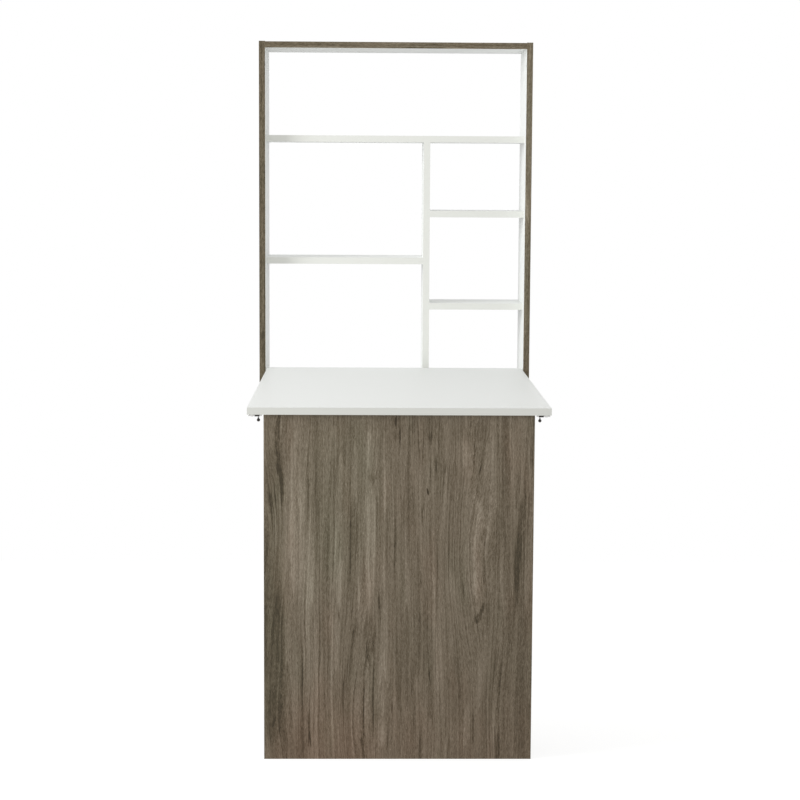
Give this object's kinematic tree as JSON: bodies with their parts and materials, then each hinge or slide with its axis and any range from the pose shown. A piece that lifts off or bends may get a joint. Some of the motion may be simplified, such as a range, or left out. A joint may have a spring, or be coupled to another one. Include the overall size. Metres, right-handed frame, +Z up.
{
  "type": "fold down wall desk",
  "caption": "Open wall cabinet with shelves; a hinged desk top on a hinged panel leg folds up into its front and is held shut by two small barrel bolts.",
  "frame": {"origin": "on the floor under the middle of the open desk, half way between the desk's front edge and the wall", "axes": "+X to the right of someone seated at the desk, +Y to the wall, +Z up"},
  "size_m": [0.67, 0.95, 1.552],
  "materials": {
    "walnut_board": "satin walnut laminate outside, white inside",
    "white_board": "satin white laminate",
    "dowel_wood": "bare beech",
    "zinc": "cast",
    "white_plastic": "matte",
    "grey_plastic": "matte",
    "nickel": "worn nickel plate",
    "steel": "zinc plated"
  },
  "bodies": {
    "cabinet": {"bottom_panel": "walnut_board", "cabinet_dowels": "dowel_wood", "cam_bolts": "steel", "cam_caps": "white_plastic", "cam_locks": "zinc", "desk_hinge_cabinet_screws": "steel", "desk_hinge_left_fixed_leaf": "steel", "desk_hinge_left_pin": "steel", "desk_hinge_middle_fixed_leaf": "steel", "desk_hinge_middle_pin": "steel", "desk_hinge_right_fixed_leaf": "steel", "desk_hinge_right_pin": "steel", "divider": "white_board", "hanger_plate_left_high": "steel", "hanger_plate_left_low": "steel", "hanger_plate_right_high": "steel", "hanger_plate_right_low": "steel", "hanger_screws": "steel", "left_shelf": "white_board", "left_side_panel": "walnut_board", "right_low_shelf": "white_board", "right_middle_shelf": "white_board", "right_side_panel": "walnut_board", "strike_bush_left": "grey_plastic", "strike_bush_right": "grey_plastic", "top_panel": "walnut_board", "upper_shelf": "white_board"},
    "desk": {"bolt_guide_left": "nickel", "bolt_guide_right": "nickel", "bolt_plate_screws": "steel", "desk_hinge_desk_screws": "steel", "desk_hinge_left_moving_leaf": "steel", "desk_hinge_middle_moving_leaf": "steel", "desk_hinge_right_moving_leaf": "steel", "desk_top": "white_board", "leg_hinge_desk_screws": "steel", "leg_hinge_left_fixed_leaf": "steel", "leg_hinge_left_pin": "steel", "leg_hinge_right_fixed_leaf": "steel", "leg_hinge_right_pin": "steel"},
    "leg": {"leg_hinge_left_moving_leaf": "steel", "leg_hinge_leg_screws": "steel", "leg_hinge_right_moving_leaf": "steel", "leg_panel": "walnut_board"},
    "bolt_left": {"bolt_knob_left": "nickel", "bolt_rod_left": "nickel"},
    "bolt_right": {"bolt_knob_right": "nickel", "bolt_rod_right": "nickel"}
  },
  "joints": [
    {"name": "desk_fold", "type": "hinge", "parent": "cabinet", "child": "desk", "pos_m": [0, 0.3085, 0.732], "axis": [-1, 0, 0], "range_deg": [0, 90]},
    {"name": "leg_fold", "type": "hinge", "parent": "desk", "child": "leg", "pos_m": [0, -0.449, 0.732], "axis": [1, 0, 0], "range_deg": [0, 90]},
    {"name": "bolt_left_slide", "type": "slide", "parent": "desk", "child": "bolt_left", "axis": [-1, 0, 0], "range_m": [0, 0.0095]},
    {"name": "bolt_right_slide", "type": "slide", "parent": "desk", "child": "bolt_right", "axis": [1, 0, 0], "range_m": [0, 0.0095]}
  ]
}
